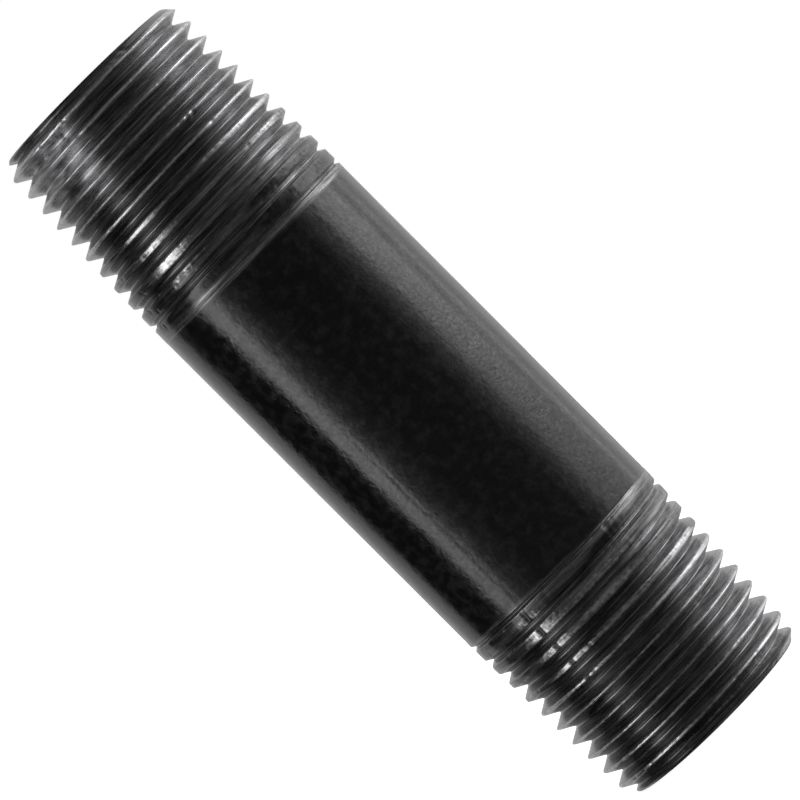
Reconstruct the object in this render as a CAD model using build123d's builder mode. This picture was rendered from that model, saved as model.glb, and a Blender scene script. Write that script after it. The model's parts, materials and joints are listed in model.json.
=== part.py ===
from build123d import *
from math import atan, cos, degrees, radians, tan
import os

# A 1/2-14 NPT x 3 in pipe nipple: one length of Schedule 40 steel pipe with a tapered right-hand thread
# cut into each end. It stands on its lower end face, with the origin at that face's centre and the pipe
# axis on +Z. All lengths are in millimetres.

# Driving dimensions: the pipe
inch = 25.4
length = 3 * inch
outside_diameter = 0.840 * inch
wall = 0.109 * inch
burr_chamfer = 0.25  # inside edge of each end face

# Driving dimensions: the thread. Every "distance" is measured along the axis from the end face.
threads_per_inch = 14
flank_angle = 30  # from the plane across the axis to each flank
taper = 1 / 32  # rise of the radius along the axis: 3/4 in per foot on the diameter
root_radius_at_end = 8.86
root_flat = 0.05
end_chamfer = 1.05  # distance at which the outside chamfer ends
face_radius = 9.20  # outer edge of the flat end face
crest_radius_at_chamfer = 10.25
crest_cone_length = 9.0  # how far the crests keep near to a cone before they bend into the barrel
crests_full_at = 21.0  # distance at which the crests' envelope has become the plain barrel
full_thread_length = 9.0  # up to here the roots rise with the taper

# Each end: distance of its first crest on the +X side, and of the point where its die stopped
lower_thread = (0.50, 19.1)
upper_thread = (0.66, 20.0)

# Past the full thread the die's lead-in teeth cut less and less, so the roots rise in three more stages:
# distance from the stop to the stage's end, and rise per mm
root_stages = (
    (-5.4, 0.080),
    (0.0, 0.130),
    (0.9, 0.500),
)
stage_lap = 0.05  # each stage starts this far back inside the last one, along the axis
stage_step = 0.02  # and this much shallower, as a worn lead-in tooth cuts
run_in_turns = 1  # turns of the cutter outside the end face
cutter_clearance = 0.05  # how far the cutter stands above the crests

# Derived sizes
pitch = inch / threads_per_inch
barrel_radius = outside_diameter / 2
bore_radius = barrel_radius - wall
thread_height = 0.8 * pitch
cutter_height = thread_height + cutter_clearance
cutter_half_root = root_flat / 2
cutter_half_top = cutter_half_root + cutter_height * tan(radians(flank_angle))

# The two ends. Turning the lower frame half round about X gives the upper one, so both are right-hand.
lower_end = Plane.XY
upper_end = Plane(origin=(0, 0, length), x_dir=(1, 0, 0), z_dir=(0, 0, -1))


def root_spans(first_crest, stop):
    """Start distance, turn in degrees, height, start radius and rise of each stage of one thread's root."""
    spans = []
    groove_start = first_crest - (run_in_turns + 1 / 2) * pitch
    start = groove_start
    radius = root_radius_at_end + taper * groove_start
    stages = [(full_thread_length, taper)]
    stages += [(stop + past_stop, rise) for past_stop, rise in root_stages]
    for finish, rise in stages:
        height = finish - start
        spans.append((start, 360 * (start - groove_start) / pitch, height, radius, rise))
        start = finish - stage_lap
        radius += (height - stage_lap) * rise + stage_step
    return spans


with BuildPart() as pipe_nipple:
    # The turned blank: the lower half of the wall's section, revolved, and then the same for the upper half
    with BuildSketch(Plane.XZ):
        with BuildLine():
            chamfer_top = (crest_radius_at_chamfer, end_chamfer)
            Bezier(
                chamfer_top,
                (barrel_radius, end_chamfer + crest_cone_length),
                (barrel_radius, crests_full_at),
            )
            Polyline(
                (barrel_radius, crests_full_at),
                (barrel_radius, length / 2),
                (bore_radius, length / 2),
                (bore_radius, burr_chamfer),
                (bore_radius + burr_chamfer, 0),
                (face_radius, 0),
                chamfer_top,
            )
        make_face()
    revolve(axis=Axis.Z)
    mirror(about=Plane.XY.offset(length / 2))

    # The thread grooves: a 60 degree tooth swept along a conical helix, stage by stage
    for end, thread in ((lower_end, lower_thread), (upper_end, upper_thread)):
        for start, turned, height, radius, rise in root_spans(*thread):
            frame = Plane(end.location * Pos(Z=start) * Rot(Z=turned))
            cone = atan(rise)
            helix = Helix(pitch / cos(cone), height, radius, cone_angle=degrees(cone), mode=Mode.PRIVATE)
            with BuildSketch(Plane(frame.origin, x_dir=frame.x_dir, z_dir=-frame.y_dir)):
                with BuildLine():
                    Polyline(
                        (radius, -cutter_half_root),
                        (radius + cutter_height, -cutter_half_top),
                        (radius + cutter_height, cutter_half_top),
                        (radius, cutter_half_root),
                        close=True,
                    )
                make_face()
            sweep(path=frame * helix, is_frenet=True, mode=Mode.SUBTRACT)

pipe_nipple.part.label = "pipe_nipple"

os.makedirs("parts", exist_ok=True)
export_step(pipe_nipple.part, "parts/pipe_nipple.step")
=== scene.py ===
import json
import math

import bpy
import numpy as np
from mathutils import Matrix, Vector


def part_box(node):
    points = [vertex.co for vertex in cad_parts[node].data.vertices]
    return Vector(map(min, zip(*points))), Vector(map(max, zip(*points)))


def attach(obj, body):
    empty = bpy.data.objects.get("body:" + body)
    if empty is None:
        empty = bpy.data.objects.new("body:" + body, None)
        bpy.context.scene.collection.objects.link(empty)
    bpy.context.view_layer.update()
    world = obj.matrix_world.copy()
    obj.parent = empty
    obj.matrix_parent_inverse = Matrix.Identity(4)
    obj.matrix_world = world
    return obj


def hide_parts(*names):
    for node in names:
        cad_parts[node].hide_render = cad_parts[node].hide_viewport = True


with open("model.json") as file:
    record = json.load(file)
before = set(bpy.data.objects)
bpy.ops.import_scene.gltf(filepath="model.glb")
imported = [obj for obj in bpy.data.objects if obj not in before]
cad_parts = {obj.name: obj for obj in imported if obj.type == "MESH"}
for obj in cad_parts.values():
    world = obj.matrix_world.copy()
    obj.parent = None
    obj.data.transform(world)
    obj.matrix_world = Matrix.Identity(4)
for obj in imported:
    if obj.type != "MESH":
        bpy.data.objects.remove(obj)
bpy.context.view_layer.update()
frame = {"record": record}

# ---------------------------------------------------------------------------------------------------------
# Driving sizes. The pipe's skin is worked out in millimetres, with the lower end face at height 0, and is
# scaled to metres when its mesh is made.
# ---------------------------------------------------------------------------------------------------------
MM = 0.001
NODE = "pipe_nipple"
MOUNTS = {mount["name"]: mount for mount in frame["record"]["mounts"]}
node_low, node_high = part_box(NODE)
LENGTH = (node_high.z - node_low.z) / MM
BARREL_R = (node_high.x - node_low.x) / 2 / MM
BORE_R = MOUNTS["through_bore"]["dims"]["r_mm"]
TURN = 2 * math.pi

# Thread, as the CAD part cuts it. Distances are from the nearer end face.
PITCH = 25.4 / 14
TAN_FLANK = math.tan(math.radians(30))
LOWER_CREST = 0.50  # first crest at +X, from the lower end
UPPER_CREST = 0.66  # and from the upper end
ROOT_HALF = (0.085, 0.05)  # half the root's width: full thread, run-out
CHAMFER = 1.05
FACE_R = 9.20
CREST_R = 10.25
CREST_CONE = 9.0
CRESTS_FULL = 21.0
ROOT_AT = (0.0, 9.0, 14.6, 20.0, 20.5)
ROOT_R = (8.86, 9.14, 9.61, 10.36, 10.80)
LOWER_SHORTER = 0.9  # the lower thread runs out this much nearer to its end
BURR_CHAMFER = 0.25

# Rounding of the thread's corners, and the least that is left of its flats and flanks
CREST_ROUNDING = 0.07
ROOT_ROUNDING = 0.06
CHAMFER_ROUNDING = 0.06
LEAST_HALF_FLAT = 0.07
LEAST_FLANK = 0.20

# Mesh layout
COLUMNS = 384
PITCH_ROWS = 26
THREAD_END = 21.6  # rows follow the helix up to here, and are spread out on the plain barrel beyond
BARREL_ROW_SPAN = 7.0  # how much row spacing the barrel between the threads gets, in mm of thread rows
END_SNAP = 0.012
FLANK_ROWS = 6
FACE_RINGS = 5
BORE_ROWS = 45
SHARP_EDGE = math.radians(50)

# Angles round the pipe, counted from +X towards +Y. The welded seam runs along the pipe at the first.
SEAM = math.radians(239.4)
TOWARDS_CAMERA = math.radians(270)

# Wear of the crests, and the distances from the end between which it fades out
ALL_WEAR, ALL_WEAR_FADES = 0.055, (13.0, 19.0)
FIRST_WEAR, FIRST_WEAR_FADES = 0.075, (1.0, 9.0)

# Patterns on the skin: cell size along the axis in mm, cells round the pipe, and seed
STOP_WOBBLE = (30.0, 16, 7)
CREST_WORN = (0.9, 60, 1)
CREST_TORN = (0.45, 200, 2)
BROAD_WAVE = (5.0, 18, 5)
FINE_WAVE = (1.3, 60, 6)
TORN_GRAIN = (0.28, 190, 13)
BEAD_SCALES = (1.1, 90, 21)
BEAD_GRAIN = (0.8, 90, 22)
LOWER_FACE_WAVE = (0.9, 40, 31)
UPPER_FACE_WAVE = (0.9, 40, 32)
RUBBED_PATCHES = (0.7, 70, 41)
RUBBED_AREAS = (2.6, 11, 42)
SCRAPED_GRAIN = (0.6, 60, 43)

# Patterns along the thread: strips a pitch, cells a turn, and seed
CREST_SCRATCHES = (18, 26, 8)
TOOL_MARKS = (14, 9, 3)
FINE_TOOL_MARKS = (24, 40, 4)
FLAT_STREAKS = (18, 16, 44)


# ---------------------------------------------------------------------------------------------------------
# Small helpers
# ---------------------------------------------------------------------------------------------------------
def fade(x, start, end):
    """0 before start, 1 past end, smooth between."""
    t = np.clip((x - start) / (end - start), 0, 1)
    return smooth(t)


def smooth(t):
    """Eases 0 to 1."""
    return t * t * (3 - 2 * t)


def bump(x, centre, half_width):
    """A bell of height 1."""
    return np.exp(-(((x - centre) / half_width) ** 2))


def lattice(z, theta, cell, around, seed):
    """Smooth noise from -1 to 1 on the pipe's surface: cell mm along the axis, around cells a turn."""
    table = np.random.default_rng(seed).random((int(LENGTH / cell) + 4, around)) * 2 - 1
    u = np.clip(z, 0, LENGTH) / cell + 1
    v = (theta / TURN % 1.0) * around
    i, j = np.floor(u).astype(int), np.floor(v).astype(int)
    fu, fv = smooth(u - i), smooth(v - j)
    j0, j1 = j % around, (j + 1) % around
    near = table[i, j0] * (1 - fv) + table[i, j1] * fv
    far = table[i + 1, j0] * (1 - fv) + table[i + 1, j1] * fv
    return near * (1 - fu) + far * fu


def strips(z, theta, across, along, seed):
    """Noise from -1 to 1 in strips along the thread: across cells a pitch, along cells a turn."""
    turns = thread_turns(z, theta)
    k = np.floor(turns)
    u = (turns - k) * across
    v = (k + theta / TURN + 4) * along
    table = np.random.default_rng(seed).random((int((LENGTH / PITCH + 8) * along) + 2, across)) * 2 - 1
    i, j = np.floor(v).astype(int), np.minimum(np.floor(u).astype(int), across - 1)
    fu, fv = smooth(u - j), smooth(v - i)
    over = j + 1 == across
    i1 = np.where(over, i + along, i)  # past the last strip comes the next turn's first
    j1 = np.where(over, 0, j + 1)
    near = table[i, j] * (1 - fv) + table[i + 1, j] * fv
    far = table[i1, j1] * (1 - fv) + table[i1 + 1, j1] * fv
    return near * (1 - fu) + far * fu


def soft_min(a, b, reach):
    """The smaller of two, with the corner rounded where they are nearer than reach."""
    h = np.maximum(reach - np.abs(a - b), 0) / reach
    return np.minimum(a, b) - h * h * reach / 4


def arc(theta, centre):
    """Distance round the barrel from an angle, in mm, signed."""
    return ((theta - centre + math.pi) % TURN - math.pi) * BARREL_R


def from_camera_side(theta, degrees=0.0):
    """Distance round the barrel from a line that many degrees from the camera's side towards +X."""
    return arc(theta, TOWARDS_CAMERA + math.radians(degrees))


def from_end(z):
    return np.minimum(z, LENGTH - z)


def at_lower_end(z):
    return z < LENGTH / 2


# ---------------------------------------------------------------------------------------------------------
# The shape of the skin
# ---------------------------------------------------------------------------------------------------------
def crest_radius(d):
    """The crests' envelope: a cone that bends smoothly into the plain barrel."""
    a = CRESTS_FULL - CHAMFER - 2 * CREST_CONE
    b = 2 * CREST_CONE
    t = (-b + np.sqrt(b * b + 4 * a * np.clip(d - CHAMFER, 0, CRESTS_FULL - CHAMFER))) / (2 * a)
    return BARREL_R - (BARREL_R - CREST_R) * (1 - t) ** 2


def thread_length_shift(z):
    return np.where(at_lower_end(z), LOWER_SHORTER, 0.0)


def root_radius(z):
    d = from_end(z)
    shift = thread_length_shift(z) * fade(d, ROOT_AT[1], ROOT_AT[3])
    return np.interp(d + shift, ROOT_AT, ROOT_R)


def root_half(z):
    full, run_out = ROOT_HALF
    return full + (run_out - full) * fade(from_end(z), 9.0, 18.0)


def worn_crest(z):
    """The crests' envelope with the wear that all of them have, most on the first turns."""
    d = from_end(z)
    wear = ALL_WEAR * (1 - fade(d, *ALL_WEAR_FADES)) + FIRST_WEAR * (1 - fade(d, *FIRST_WEAR_FADES))
    return crest_radius(d) - wear


def half_flat(z):
    """Half the width of the crest's flat."""
    width = PITCH / 2 - root_half(z) - (worn_crest(z) - root_radius(z)) * TAN_FLANK
    return np.clip(width, LEAST_HALF_FLAT, PITCH / 2 - root_half(z) - LEAST_FLANK)


def thread_turns(z, theta):
    """Turns along the thread from its first crest, a whole number at each crest's middle."""
    first = np.where(at_lower_end(z), LOWER_CREST, LENGTH - UPPER_CREST)
    return (z - PITCH * theta / TURN - first) / PITCH


def off_crest(z, theta):
    """Distance along the axis to the nearest crest's middle."""
    turns = thread_turns(z, theta)
    return np.abs(turns - np.round(turns)) * PITCH


def smooth_radius(z, theta):
    """The skin's radius before its finer relief."""
    d = from_end(z)
    root = root_radius(z)
    flank = root + (PITCH / 2 - off_crest(z, theta) - root_half(z)) / TAN_FLANK
    groove = -soft_min(-flank, -root, 2 * ROOT_ROUNDING)
    chamfer = FACE_R + d * (CREST_R - FACE_R) / CHAMFER
    thread = soft_min(worn_crest(z), groove, 2 * CREST_ROUNDING)
    return soft_min(thread, chamfer, CHAMFER_ROUNDING)


def threaded(z):
    """1 on the threads, 0 on the plain barrel."""
    return 1 - fade(from_end(z) + thread_length_shift(z), 19.7, 20.1)


def on_crest(z, theta, reach=0.13):
    """1 on the crest's flat, falling to 0 a little way down each flank."""
    return threaded(z) * (1 - fade((off_crest(z, theta) - half_flat(z)) / reach, 0.15, 1.0))


# The mark where each die stopped: a band between two lines, all as distances from the end
STOP_LINES = (19.95, 20.50)
STOP_LINE_HALF = 0.15
STOP_BAND_STARTS = (19.75, 20.0)
STOP_BAND_ENDS = (20.45, 20.70)
LOWER_STOP_SHIFT = 1.3  # the lower die's mark is this much nearer to its end


def stop_band(z, theta):
    """The scuffed band that the die left where it stopped, and the line along each side of it."""
    shift = np.where(at_lower_end(z), LOWER_STOP_SHIFT, 0.0)
    d = from_end(z) + shift + 0.03 * lattice(z, theta, *STOP_WOBBLE)
    band = fade(d, *STOP_BAND_STARTS) * (1 - fade(d, *STOP_BAND_ENDS))
    lines = sum(bump(d, line, STOP_LINE_HALF) for line in STOP_LINES)
    return band, lines


def seam_line(z, theta):
    """Two faint lines along the weld, on the lower part of the barrel."""
    wander = arc(theta, SEAM) + 0.10 * np.sin(z * 0.21) + 0.05 * np.sin(z * 0.83 + 1.0)
    return (bump(wander, -0.42, 0.19) + bump(wander, 0.36, 0.17)) * (1 - fade(z, 36.0, 47.0))


def seam_swell(z, theta):
    """The wall stands a little proud along the weld, more towards the lower end."""
    uneven = 0.7 + 0.3 * np.sin(z * 0.47) + 0.2 * np.sin(z * 1.31 + 2.0)
    return 0.045 * uneven * (1 - fade(z, 25.0, 62.0)) * bump(arc(theta, SEAM), -0.4, 1.5)


# Nicks that stand alone: height, degrees from the camera's side towards +X, size and depth, all else in mm
NICKS = (
    (LENGTH - 8.35, 28.0, 0.26, 0.14),
    (LENGTH - 8.30, 23.5, 0.22, 0.10),
    (LENGTH - 10.0, 31.0, 0.20, 0.10),
    (LENGTH - 6.5, 7.0, 0.18, 0.08),
    (LENGTH - 0.55, 27.0, 0.34, 0.14),
    (LENGTH - 0.45, 20.0, 0.28, 0.12),
    (LENGTH - 0.60, 15.5, 0.20, 0.10),
    (LENGTH - 2.6, -34.0, 0.22, 0.16),
    (LENGTH - 2.3, -47.0, 0.34, 0.20),
    (LENGTH - 1.5, -40.0, 0.24, 0.12),
    (38.7, -17.5, 0.24, 0.07),
)

# Torn patches: height, degrees from the camera's side towards +X, and half lengths up and round the pipe
TORN = (
    (17.9, 24.0, 0.65, 2.7),
    (8.5, 44.0, 0.55, 1.9),
    (16.1, 36.0, 0.50, 2.0),
    (LENGTH - 19.0, 30.0, 0.50, 2.6),
    (LENGTH - 17.0, 38.0, 0.60, 2.4),
)

# Small dents on the first turns, and pits on the barrel. Pairs are the least and the greatest, in mm.
DENT_SEED = 12
DENT_COUNT = 34
DENT_SIZE = (0.12, 0.34)
DENT_DEPTH = (0.03, 0.10)
PIT_COUNT = 26
PIT_SIZE = (0.07, 0.13)
PIT_DEPTH = (0.008, 0.03)
PITS_FROM_END = 22.0


def torn_patches(z, theta):
    """1 in the middle of each torn patch."""
    patches = np.zeros_like(z)
    for height, degrees, tall, wide in TORN:
        patches += bump(z, height, tall) * bump(from_camera_side(theta, degrees), 0.0, wide)
    return np.minimum(patches, 1)


def dents(z, theta):
    """Small dents on the first turns of both ends, pits on the barrel, torn patches and nicks."""
    rng = np.random.default_rng(DENT_SEED)
    depth = np.zeros_like(z)
    for k in range(DENT_COUNT):  # two in three are at the upper end, round the seam's side
        height = LENGTH - rng.uniform(0.6, 5.0) if k % 3 else rng.uniform(0.5, 4.5)
        angle = math.radians(rng.uniform(175, 262)) if k % 3 else rng.uniform(0, TURN)
        size = rng.uniform(*DENT_SIZE)
        deep = rng.uniform(*DENT_DEPTH)
        depth += deep * bump(z, height, size) * bump(arc(theta, angle), 0.0, size * rng.uniform(0.8, 2.2))
    for k in range(PIT_COUNT):
        height = rng.uniform(PITS_FROM_END, LENGTH - PITS_FROM_END)
        angle = rng.uniform(0, TURN)
        size = rng.uniform(*PIT_SIZE)
        depth += rng.uniform(*PIT_DEPTH) * bump(z, height, size) * bump(arc(theta, angle), 0.0, size)
    depth += torn_patches(z, theta) * (0.02 + 0.045 * lattice(z, theta, *TORN_GRAIN))
    for height, degrees, size, deep in NICKS:
        depth += deep * bump(z, height, size) * bump(from_camera_side(theta, degrees), 0.0, size)
    return depth


def notches(z, theta):
    """1 in the row of small notches across the lower end's flats, where the weld was nicked."""
    near = 1 - fade(np.abs(from_end(z) - 14.3), 4.0, 5.0)
    return bump(arc(theta, SEAM), 0.0, 0.20) * near * at_lower_end(z)


def relief(z, theta):
    """Wear and unevenness, in mm, added to the smooth radius."""
    crest = on_crest(z, theta)
    cut = threaded(z)
    flank = cut * (1 - crest)
    band, lines = stop_band(z, theta)
    worn = 0.014 * lattice(z, theta, *CREST_WORN) + 0.013 * strips(z, theta, *CREST_SCRATCHES)
    torn = 0.20 * np.maximum(lattice(z, theta, *CREST_TORN) - 0.60, 0)
    grooves = 0.011 * strips(z, theta, *TOOL_MARKS) + 0.006 * strips(z, theta, *FINE_TOOL_MARKS)
    wave = 0.0022 * lattice(z, theta, *BROAD_WAVE) + 0.0010 * lattice(z, theta, *FINE_WAVE)
    out = flank * grooves - crest * (worn + torn) + (1 - cut) * (wave + seam_swell(z, theta))
    out += 0.010 * band + 0.008 * lines - 0.010 * seam_line(z, theta) * (1 - cut)
    return out - 0.10 * notches(z, theta) * crest - dents(z, theta)


# ---------------------------------------------------------------------------------------------------------
# The mesh: a grid whose rows follow the thread's helix, closed by two end faces and the bore
# ---------------------------------------------------------------------------------------------------------
MIDDLE = LENGTH - 2 * THREAD_END
SPARE = MIDDLE - BARREL_ROW_SPAN
PHASE = (LENGTH - LOWER_CREST - UPPER_CREST) % PITCH
SQUEEZE = PHASE + PITCH * round((SPARE - PHASE) / PITCH)  # keeps the rows on the upper crests too


def unroll(q):
    """Height from row height: the same on the lower thread, stretched on the barrel."""
    stretched = THREAD_END + (q - THREAD_END) * MIDDLE / (MIDDLE - SQUEEZE)
    upper = q + SQUEEZE
    return np.where(q < THREAD_END, q, np.where(q > LENGTH - SQUEEZE - THREAD_END, upper, stretched))


def row_offsets(flat, root):
    """Distance of each of a pitch's rows from its crest, for half a flat and half a root by vertex."""
    inner = np.maximum(flat - CREST_ROUNDING, 0.4 * flat)
    foot = PITCH / 2 - root
    top, bottom = flat + CREST_ROUNDING, foot - ROOT_ROUNDING
    side = [0 * flat, 0.5 * inner, inner, flat, top]
    for k in range(1, FLANK_ROWS):
        side.append(top + (bottom - top) * k / FLANK_ROWS)
    side += [bottom, foot, foot + 0.5 * root, PITCH / 2 + 0 * flat]
    return side + [PITCH - s for s in side[-2:0:-1]]


def column_angles():
    return np.arange(COLUMNS) * TURN / COLUMNS


def skin_points():
    """Height and angle of every point of the grid, one row a line."""
    turns = int(math.ceil((LENGTH - SQUEEZE) / PITCH)) + 3
    theta = column_angles()[None, :]
    rows = []
    for k in range(-2, turns - 2):
        base = LOWER_CREST + k * PITCH + PITCH * theta / TURN
        for m in range(PITCH_ROWS):
            near_z = unroll(base + PITCH * m / PITCH_ROWS)
            offset = row_offsets(half_flat(near_z), root_half(near_z))[m]
            rows.append(unroll(base + offset))
    z = np.concatenate(rows)
    return z, np.broadcast_to(theta, z.shape)


def ring(radius, height):
    theta = column_angles()
    return np.stack([radius * np.cos(theta), radius * np.sin(theta), height + 0 * theta], 1)


def weld_bead(z, theta):
    """Height of the low bead that the welded seam leaves inside the pipe."""
    side = np.abs(arc(theta, SEAM)) * BORE_R / BARREL_R
    body = 0.24 + 0.05 * lattice(z, theta, *BEAD_SCALES)
    return body * (1 - fade(side, 0.35, 0.85)) + 0.02 * lattice(z, theta, *BEAD_GRAIN)


def face_dip(radius, theta, pattern):
    """How far an end face is dished, in mm."""
    return 0.012 * (1 + lattice(radius * 7, theta, *pattern))


def inner_rings(outer_low, outer_high):
    """Rings of points from the lower face's outer edge, in through the bore, to the upper one's."""
    theta = column_angles()
    mouth = BORE_R + BURR_CHAMFER
    rings = []
    low_r = np.hypot(outer_low[:, 0], outer_low[:, 1])
    high_r = np.hypot(outer_high[:, 0], outer_high[:, 1])
    for k in range(1, FACE_RINGS):
        radius = low_r + (mouth - low_r) * k / FACE_RINGS
        rings.append(ring(radius, face_dip(radius, theta, LOWER_FACE_WAVE) * (k > 1)))
    rings.append(ring(mouth, 0.0))
    for k in range(BORE_ROWS + 1):
        height = BURR_CHAMFER + (LENGTH - 2 * BURR_CHAMFER) * k / BORE_ROWS + 0 * theta
        rings.append(ring(BORE_R - weld_bead(height, theta), height))
    rings.append(ring(mouth, LENGTH))
    for k in range(1, FACE_RINGS):
        radius = mouth + (high_r - mouth) * k / FACE_RINGS
        rings.append(ring(radius, LENGTH - face_dip(radius, theta, UPPER_FACE_WAVE) * (k < FACE_RINGS - 1)))
    return rings


def skin_faces(z):
    """Vertex numbers of the grid's faces. Points past an end plane share that plane's rim point."""
    inside = (z > END_SNAP) & (z < LENGTH - END_SNAP)
    ids = np.zeros(z.shape, int)
    count = int(inside.sum())
    ids[inside] = np.arange(count)
    columns = np.broadcast_to(np.arange(COLUMNS)[None, :], z.shape)
    ids = np.where(inside, ids, np.where(z <= END_SNAP, count + columns, count + COLUMNS + columns))
    beyond = np.full((PITCH_ROWS, COLUMNS), count + COLUMNS) + np.arange(COLUMNS)[None, :]
    padded = np.concatenate([ids, beyond])
    wrapped = padded[PITCH_ROWS:PITCH_ROWS + len(z), :1]
    following = np.concatenate([ids[:, 1:], wrapped], 1)
    a, b, c, d = ids[:-1], following[:-1], following[1:], ids[1:]
    quads = np.stack([a, b, c, d], -1)[(a != d) & (b != c)]
    left_point = np.stack([a, b, c], -1)[(a == d) & (b != c)]
    right_point = np.stack([a, b, d], -1)[(a != d) & (b == c)]
    return inside, count, quads, np.concatenate([left_point, right_point])


def lining_faces(low_rim, high_rim, first, ring_count):
    """The end faces' and the bore's quads, from one ring of points to the next."""
    starts = [low_rim] + [first + k * COLUMNS for k in range(ring_count)] + [high_rim]
    step = np.arange(COLUMNS)
    after = (step + 1) % COLUMNS
    pairs = zip(starts[:-1], starts[1:])
    return np.concatenate([np.stack([s + step, e + step, e + after, s + after], -1) for s, e in pairs])


def nipple_mesh():
    z, theta = skin_points()
    inside, count, quads, triangles = skin_faces(z)
    angles = column_angles()
    z_all = np.concatenate([z[inside], 0 * angles, LENGTH + 0 * angles])
    theta_all = np.concatenate([theta[inside], angles, angles])
    radius = smooth_radius(z_all, theta_all) + relief(z_all, theta_all)
    skin = np.stack([radius * np.cos(theta_all), radius * np.sin(theta_all), z_all], 1)

    low_rim, high_rim = count, count + COLUMNS
    rings = inner_rings(skin[low_rim:low_rim + COLUMNS], skin[high_rim:high_rim + COLUMNS])
    points = np.concatenate([skin] + rings) * MM
    faces = quads.tolist() + triangles.tolist()
    outside = len(faces)
    faces += lining_faces(low_rim, high_rim, len(skin), len(rings)).tolist()

    mesh = bpy.data.meshes.new("nipple")
    mesh.from_pydata(points.tolist(), [], faces)
    mesh.validate()
    mark_surface(mesh, z_all, theta_all, len(points))
    mark_materials(mesh, outside)
    mesh.shade_smooth()
    mesh.set_sharp_from_angle(angle=SHARP_EDGE)
    return mesh


# ---------------------------------------------------------------------------------------------------------
# Where the coat is worn, and the painted light on the grooves, as numbers on the mesh's points that the
# materials read
# ---------------------------------------------------------------------------------------------------------
def bare_steel(z, theta):
    """How far the lacquer is rubbed through, from 0 to 1."""
    d = from_end(z)
    lower = at_lower_end(z)
    side_wear = bump(from_camera_side(theta, 56), 0.0, 4.5)
    crest = on_crest(z, theta, 0.13 + 0.10 * side_wear)
    sharp = (1 - fade(d - 2.2 * side_wear, 10.6, 12.6)) * np.where(lower, 0.80 + 0.2 * side_wear, 1.0)
    patchy = 0.5 + 0.5 * lattice(z, theta, *RUBBED_PATCHES)
    broad = fade(lattice(z, theta, *RUBBED_AREAS), 0.35, 0.8)
    near_seam = bump(arc(theta, SEAM), 0.1, 2.8) * np.where(lower, 0.56, 0.72)
    near_seam *= 1 - fade(d + np.where(lower, -0.6, 0.0), 15.8, 19.0)
    front = 0.50 * bump(from_camera_side(theta), 1.0, 4.6) * lower * (1 - fade(d, 16.0, 17.5))
    flats = np.maximum(np.maximum(near_seam, front), 0.7 * broad * (1 - fade(d, 16.0, 19.0)))
    bare = crest * np.maximum(sharp * (0.60 + 0.40 * patchy), flats)
    rim = bump(d, CHAMFER - 0.05, 0.16) * 0.45
    return np.clip(np.maximum(bare, rim) * (1 - notches(z, theta)), 0, 1)


def scraped(z, theta):
    """The patch on the upper end's first turns, beside the seam, where the coat is thinnest."""
    patch = bump(arc(theta, SEAM), -2.8, 4.8) * (1 - fade(from_end(z), 4.0, 11.0)) * (z > LENGTH / 2)
    return patch * fade(lattice(z, theta, *SCRAPED_GRAIN), -1.6, 0.1)


def groove_painted_light_and_scrape(z, theta):
    """How bright the coated grooves are, from 0 to 1, as painted light: painted brighter towards +X and
    least on the -X side, with painted shade in the roots of the first turns, except in the scraped patch,
    which is real wear.
    """
    d = from_end(z)
    # Painted light: the grooves are made lighter towards +X and darker on the -X side, by their angle round
    # the pipe.
    side = 0.14 + 0.29 * fade(np.sin(theta - TOWARDS_CAMERA), -0.45, 0.25)
    # Darker on the lower end, and darker round 10.5 mm from the upper end.
    side *= np.where(at_lower_end(z), 0.85, 1 - 0.35 * bump(d, 10.5, 3.5))
    # Painted shade in the roots of the first turns.
    side *= 1 - 0.55 * bump(off_crest(z, theta), PITCH / 2, 0.15) * (1 - fade(d, 12.0, 15.0))
    # The scraped patch is real wear, where the coat is thin.
    return side + (1 - side) * scraped(z, theta)


def coated_flats(z, theta):
    """How much of the barrel's coat is left on the crests' flats, from 0 to 1, in streaks."""
    d = from_end(z)
    last = np.where(z > LENGTH / 2, fade(d, 15.5, 18.0), 0.6 * fade(d, 16.8, 18.0))
    streaky = 0.60 + 0.30 * last + (0.45 - 0.15 * last) * strips(z, theta, *FLAT_STREAKS)
    front = bump(from_camera_side(theta), 1.0, 4.6) * at_lower_end(z) * (1 - fade(d, 16.6, 17.4))
    streaky = streaky * (1 - 0.6 * front) + 0.4 * torn_patches(z, theta)
    return np.clip(streaky, 0, 1) * on_crest(z, theta) * fade(d, 12.0, 15.0)


def cut_metal(z, theta):
    """1 in the grooves, where a die cut through to steel that was then thinly coated."""
    on_chamfer = 1 - fade(from_end(z), CHAMFER - 0.25, CHAMFER + 0.05)
    band, lines = stop_band(z, theta)
    cut = threaded(z) * (1 - coated_flats(z, theta)) * (1 - 0.65 * on_chamfer)
    cut *= 1 - notches(z, theta) * on_crest(z, theta)
    return np.maximum(cut, np.minimum(0.50 * band + 0.35 * lines, 1))


def mark_surface(mesh, z, theta, total):
    """Writes the three numbers: two of wear, and one of painted light and wear on the grooves. The end
    faces and the bore, which come after the skin, get 1.
    """
    kinds = {"bare": bare_steel, "cut": cut_metal, "painted_light_and_scrape": groove_painted_light_and_scrape}
    for name, kind in kinds.items():
        data = np.ones(total, np.float32)
        data[:len(z)] = kind(z, theta)
        mesh.attributes.new(name, "FLOAT", "POINT").data.foreach_set("value", data)


def mark_materials(mesh, outside):
    """Slot 0 is the outside; of the lining, slot 1 is the end faces and slot 2 the bore."""
    slots = np.zeros(len(mesh.polygons), np.int32)
    face_span = (FACE_RINGS + 1) * COLUMNS
    slots[outside:] = 2
    slots[outside:outside + face_span] = 1
    slots[len(mesh.polygons) - face_span:] = 1
    mesh.polygons.foreach_set("material_index", slots)


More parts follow.
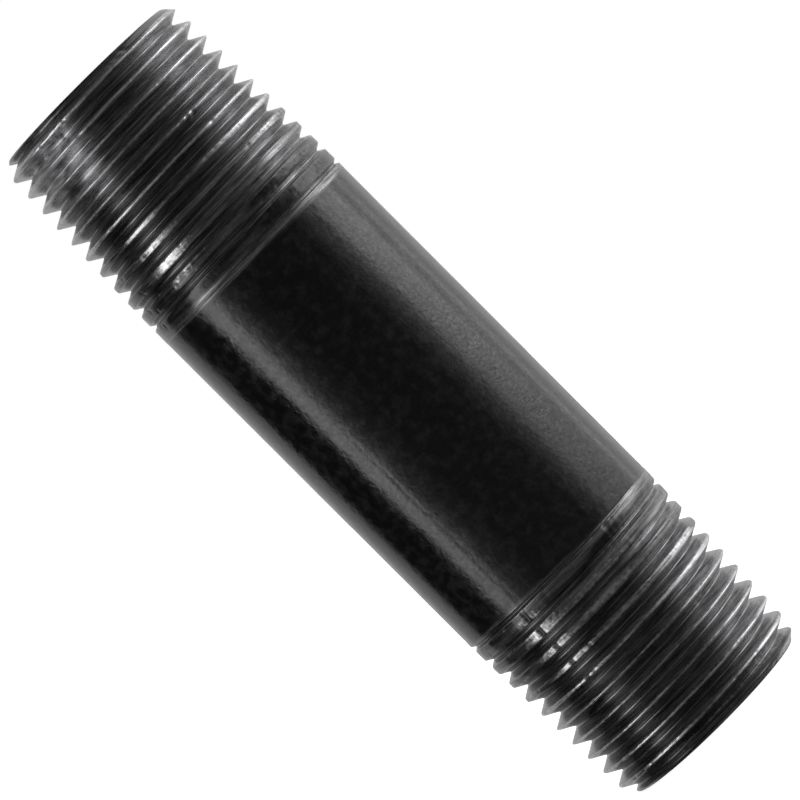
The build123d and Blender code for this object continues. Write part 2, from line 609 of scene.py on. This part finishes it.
# ---------------------------------------------------------------------------------------------------------
# Materials
# ---------------------------------------------------------------------------------------------------------
# Grain of the surface noises: cells a metre, octaves of detail, and how strong the finer octaves are
MOTTLE = (2600, 4.0, 0.6)
BROAD_MOTTLE = (260, 3.0, 0.5)
ORANGE_PEEL = (2800, 3.0, 0.55)
SWELL = (1100, 2.0, 0.5)
LATHE_MARKS = (1.0, 4.0, 0.65, (260, 260, 7000))  # short along the axis, long round the pipe
FACE_MOTTLE = (1800, 4.0, 0.6)
SCALE_FLAKES = (900, 5.0, 0.62)
SCALE_GRAIN = (5200, 3.0, 0.6)
TABLE_TONE = (40, 2.0, 0.5)
FACE_RING_SPACING = 0.16 * MM


class Nodes:
    """Shorthand for one material's node tree."""

    def __init__(self, name):
        self.material = bpy.data.materials.new(name)
        self.material.use_nodes = True
        self.tree = self.material.node_tree
        self.shader = self.tree.nodes["Principled BSDF"]
        self.place = self.tree.nodes.new("ShaderNodeTexCoord").outputs["Object"]

    def link(self, source, target):
        self.tree.links.new(source, target)

    def give(self, value, socket):
        """Links a socket, or sets a plain number or colour on it."""
        if isinstance(value, (int, float, tuple)):
            socket.default_value = value
        else:
            self.link(value, socket)

    def shade(self, name, value):
        self.give(value, self.shader.inputs[name])

    def attribute(self, name):
        node = self.tree.nodes.new("ShaderNodeAttribute")
        node.attribute_name = name
        return node.outputs["Fac"]

    def noise(self, per_metre, detail, roughness, stretch=(1, 1, 1)):
        mapping = self.tree.nodes.new("ShaderNodeMapping")
        mapping.inputs["Scale"].default_value = stretch
        self.link(self.place, mapping.inputs["Vector"])
        node = self.tree.nodes.new("ShaderNodeTexNoise")
        node.inputs["Scale"].default_value = per_metre
        node.inputs["Detail"].default_value = detail
        node.inputs["Roughness"].default_value = roughness
        self.link(mapping.outputs["Vector"], node.inputs["Vector"])
        return node.outputs["Fac"]

    def vector_math(self, operation, a, b=None):
        node = self.tree.nodes.new("ShaderNodeVectorMath")
        node.operation = operation
        self.link(a, node.inputs[0])
        if b is not None:
            node.inputs[1].default_value = b
        return node.outputs["Value" if operation == "LENGTH" else "Vector"]

    def spread(self, source, low, high, to_low=0.0, to_high=1.0):
        """Low to high becomes to_low to to_high, and what lies outside is clipped."""
        node = self.tree.nodes.new("ShaderNodeMapRange")
        node.inputs["From Min"].default_value = low
        node.inputs["From Max"].default_value = high
        node.inputs["To Min"].default_value = to_low
        node.inputs["To Max"].default_value = to_high
        self.link(source, node.inputs["Value"])
        return node.outputs["Result"]

    def math(self, operation, *values):
        node = self.tree.nodes.new("ShaderNodeMath")
        node.operation = operation
        for socket, value in zip(node.inputs, values):
            self.give(value, socket)
        return node.outputs["Value"]

    def add(self, a, b):
        return self.math("ADD", a, b)

    def times(self, a, b):
        return self.math("MULTIPLY", a, b)

    def mix(self, factor, a, b):
        """Colour a where the factor is 0, b where it is 1."""
        node = self.tree.nodes.new("ShaderNodeMix")
        node.data_type = "RGBA"
        self.link(factor, node.inputs[0])
        for socket, value in zip([s for s in node.inputs if s.type == "RGBA"], (a, b)):
            self.give(value, socket)
        return next(s for s in node.outputs if s.type == "RGBA")

    def blend(self, factor, a, b):
        """Number a where the factor is 0, b where it is 1."""
        node = self.tree.nodes.new("ShaderNodeMix")
        node.data_type = "FLOAT"
        self.link(factor, node.inputs[0])
        for socket, value in zip(node.inputs[2:4], (a, b)):
            self.give(value, socket)
        return node.outputs[0]

    def height(self, source, microns):
        node = self.tree.nodes.new("ShaderNodeBump")
        node.inputs["Strength"].default_value = 1.0
        node.inputs["Distance"].default_value = microns * 1e-6
        self.link(source, node.inputs["Height"])
        return node.outputs["Normal"]


def grey(value):
    return (value, value, value * 1.02, 1.0)


def outside_material():
    """Black lacquer on the barrel, thin over the cut threads, and rubbed through to steel on the crests;
    the grooves carry painted light.
    """
    n = Nodes("black_lacquer_over_steel")
    bare, cut, painted_light_and_scrape = n.attribute("bare"), n.attribute("cut"), n.attribute("painted_light_and_scrape")
    mottle, broad = n.noise(*MOTTLE), n.noise(*BROAD_MOTTLE)
    peel, swell = n.noise(*ORANGE_PEEL), n.noise(*SWELL)
    marks = n.noise(*LATHE_MARKS)
    rubbed = n.spread(n.add(bare, n.spread(mottle, 0.3, 0.7, -0.25, 0.25)), 0.26, 0.85)

    lacquer = n.mix(n.spread(mottle, 0.35, 0.7), grey(0.003), grey(0.010))
    lacquer = n.mix(n.spread(swell, 0.45, 0.68), lacquer, grey(0.020))
    streaks = n.spread(marks, 0.36, 0.64)
    # Painted light: the grooves' colour is lighter where the painted-light number is high, towards +X, and
    # darker on the -X side and in the roots.
    groove = n.mix(painted_light_and_scrape, n.mix(streaks, grey(0.03), grey(0.20)), n.mix(streaks, grey(0.22), grey(0.88)))
    steel = n.mix(n.spread(marks, 0.35, 0.65), grey(0.42), grey(0.80))
    n.shade("Base Color", n.mix(rubbed, n.mix(cut, lacquer, groove), steel))

    dull = n.add(n.spread(swell, 0.40, 0.70, 0.0, 0.08), n.spread(mottle, 0.38, 0.62, 0.0, 0.36))
    # The grooves' metal also follows the painted-light number.
    coated_metal = n.blend(cut, dull, n.spread(painted_light_and_scrape, 0.50, 1.0, 0.88, 0.50))
    n.shade("Metallic", n.blend(rubbed, coated_metal, 0.90))

    plain_rough = n.add(n.spread(broad, 0.3, 0.7, 0.11, 0.16), n.spread(swell, 0.3, 0.7, 0.0, 0.10))
    coated_rough = n.blend(cut, plain_rough, n.spread(marks, 0.3, 0.7, 0.18, 0.34))
    flat_rough, sharp_rough = n.spread(marks, 0.3, 0.7, 0.16, 0.24), n.spread(marks, 0.3, 0.7, 0.32, 0.46)
    n.shade("Roughness", n.blend(rubbed, coated_rough, n.blend(cut, flat_rough, sharp_rough)))

    plain_height = n.add(n.times(peel, 2.8), n.times(swell, 2.4))
    heights = n.blend(n.spread(cut, 0.0, 0.35), plain_height, n.times(marks, 4.0))
    n.shade("Normal", n.height(heights, microns=6))
    return n.material


def end_face_material():
    """The sawn and deburred end: dark steel with turning marks and thin lacquer."""
    n = Nodes("turned_end_face")
    mottle = n.noise(*FACE_MOTTLE)
    radius = n.vector_math("LENGTH", n.vector_math("MULTIPLY", n.place, (1, 1, 0)))
    wave = n.math("SINE", n.times(radius, TURN / FACE_RING_SPACING))
    rings = n.add(n.times(wave, 0.25), mottle)
    n.shade("Base Color", n.mix(n.spread(rings, 0.2, 0.9), grey(0.05), grey(0.30)))
    n.shade("Metallic", n.spread(mottle, 0.3, 0.7, 0.5, 0.9))
    n.shade("Roughness", n.spread(mottle, 0.3, 0.7, 0.30, 0.48))
    n.shade("Normal", n.height(rings, microns=8))
    return n.material


def bore_material():
    """The bore: dull mill scale under a thin, uneven coat."""
    n = Nodes("mill_scale_bore")
    flakes, grain = n.noise(*SCALE_FLAKES), n.noise(*SCALE_GRAIN)
    colour = n.mix(n.spread(flakes, 0.35, 0.68), grey(0.018), grey(0.085))
    n.shade("Base Color", n.mix(n.spread(grain, 0.45, 0.75), colour, grey(0.13)))
    n.shade("Metallic", n.spread(flakes, 0.35, 0.65, 0.10, 0.45))
    n.shade("Roughness", n.spread(flakes, 0.3, 0.7, 0.42, 0.68))
    n.shade("Normal", n.height(n.add(flakes, n.times(grain, 0.4)), microns=30))
    return n.material


def floor_material():
    """A white table that glows a little, brighter away from the pipe, so that it meets the white room. The
    glow is painted light, dimmer near the pipe as a painted shade round its foot.
    """
    n = Nodes("white_table")
    n.shade("Base Color", n.mix(n.spread(n.noise(*TABLE_TONE), 0.3, 0.7), grey(0.88), grey(0.90)))
    n.shade("Roughness", 0.9)
    n.shade("Specular IOR Level", 0.1)
    # Painted light: the table glows, less near the pipe and fully white further away.
    n.shade("Emission Color", (1, 1, 1, 1))
    away = n.vector_math("LENGTH", n.place)
    n.shade("Emission Strength", n.spread(away, 0.05, 0.35, 0.85, 1.0))
    return n.material


# ---------------------------------------------------------------------------------------------------------
# The piece, the floor, the lights and the camera
# ---------------------------------------------------------------------------------------------------------
def add_to_scene(item):
    bpy.context.scene.collection.objects.link(item)


def make_nipple():
    piece = bpy.data.objects.new("threaded_nipple", nipple_mesh())
    add_to_scene(piece)
    for material in (outside_material(), end_face_material(), bore_material()):
        piece.data.materials.append(material)
    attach(piece, "root")
    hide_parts(NODE)


def make_floor(half=6.0):
    level = node_low.z
    corners = [(-half, -half, level), (half, -half, level), (half, half, level), (-half, half, level)]
    mesh = bpy.data.meshes.new("floor")
    mesh.from_pydata(corners, [], [(0, 1, 2, 3)])
    mesh.materials.append(floor_material())
    floor = bpy.data.objects.new("floor", mesh)
    add_to_scene(floor)
    floor.visible_glossy = False
    floor.visible_diffuse = False


def make_panel(name, place, target, width, height, radiance):
    """A soft panel of a given brightness, where 1 is as bright as the white background."""
    lamp = bpy.data.lights.new(name, "AREA")
    lamp.shape = "RECTANGLE"
    lamp.size = width
    lamp.size_y = height
    lamp.energy = radiance * math.pi * width * height
    panel = bpy.data.objects.new(name, lamp)
    panel.location = place
    panel.rotation_euler = (Vector(target) - Vector(place)).to_track_quat("-Z", "Y").to_euler()
    panel.visible_camera = False
    add_to_scene(panel)


def beside(degrees, distance, height):
    """A place at an angle round the pipe, counted from the camera's side towards +X."""
    angle = math.radians(degrees)
    return (distance * math.sin(angle), -distance * math.cos(angle), height)


def upright_panel(name, degrees, width_degrees, radiance, low=-0.5, high=0.5, distance=0.50):
    """A panel beside the pipe, from one height to another, both counted from the pipe's middle."""
    level = LENGTH / 2 * MM
    width = 2 * distance * math.tan(math.radians(width_degrees) / 2)
    centre = level + (low + high) / 2
    make_panel(name, beside(degrees, distance, centre), (0, 0, centre), width, high - low, radiance)


def make_lights():
    """A wide panel on the +X side and a narrow one in front, each with a soft edge, and a dim room."""
    upright_panel("side_softbox", 92, 32, 1.85, low=-0.02, high=0.5)
    upright_panel("side_wide", 98, 56, 1.35, high=0.45)
    upright_panel("side_edge", 65, 14, 0.36)
    upright_panel("side_edge_wide", 60, 24, 0.17)
    upright_panel("side_edge_widest", 53, 38, 0.06)
    upright_panel("front_strip", -66.3, 18.5, 2.35)
    upright_panel("front_strip_top", -66, 19, 1.0, low=-0.03)
    upright_panel("front_strip_edge", -53, 9, 0.65)
    upright_panel("front_strip_edge_wide", -49, 17, 0.25)
    upright_panel("front_strip_edge_widest", -42, 30, 0.07)
    upright_panel("back_wall", 180, 114, 0.66, distance=0.90, low=-0.8, high=1.0)
    upright_panel("back_side", 136, 32, 0.30, distance=0.85, high=1.1)
    upright_panel("room_front", 0, 84, 0.055, low=-0.6, high=0.6, distance=1.0)
    upright_panel("room_low", 0, 84, 0.06, low=-0.6, high=-0.05, distance=1.01)


def make_world(seen=1.0, felt=0.03):
    """White to the camera, and a dim room to everything else."""
    world = bpy.data.worlds.new("studio")
    bpy.context.scene.world = world
    world.use_nodes = True
    tree = world.node_tree
    sky = tree.nodes["Background"]
    sky.inputs["Color"].default_value = (1, 1, 1, 1)
    path = tree.nodes.new("ShaderNodeLightPath")
    level = tree.nodes.new("ShaderNodeMapRange")
    level.inputs["To Min"].default_value = felt
    level.inputs["To Max"].default_value = seen
    tree.links.new(path.outputs["Is Camera Ray"], level.inputs["Value"])
    tree.links.new(level.outputs["Result"], sky.inputs["Strength"])


def make_camera(distance=0.492, elevation=1.57, roll=45.0, picture_span=0.06847, above_middle=0.0001):
    """Square to the axis and turned half a right angle, so that +Z points to the picture's upper left."""
    tilt = math.radians(elevation)
    right = Vector((1, 0, 0))
    up = Vector((0, math.sin(tilt), math.cos(tilt)))
    back = Vector((0, -math.cos(tilt), math.sin(tilt)))
    turn = math.radians(roll)
    picture_right = right * math.cos(turn) - up * math.sin(turn)
    picture_up = right * math.sin(turn) + up * math.cos(turn)
    data = bpy.data.cameras.new("camera")
    data.sensor_width = 36
    data.lens = data.sensor_width * distance / picture_span
    data.clip_start = 0.01
    camera = bpy.data.objects.new("camera", data)
    turned = Matrix((picture_right, picture_up, back)).transposed().to_4x4()
    centre = Vector((0, 0, LENGTH / 2 * MM + above_middle))
    camera.matrix_world = Matrix.Translation(centre + back * distance) @ turned
    add_to_scene(camera)
    bpy.context.scene.camera = camera


make_camera()
make_world()
make_lights()
make_floor()
make_nipple()
bpy.context.scene.view_settings.view_transform = "Standard"
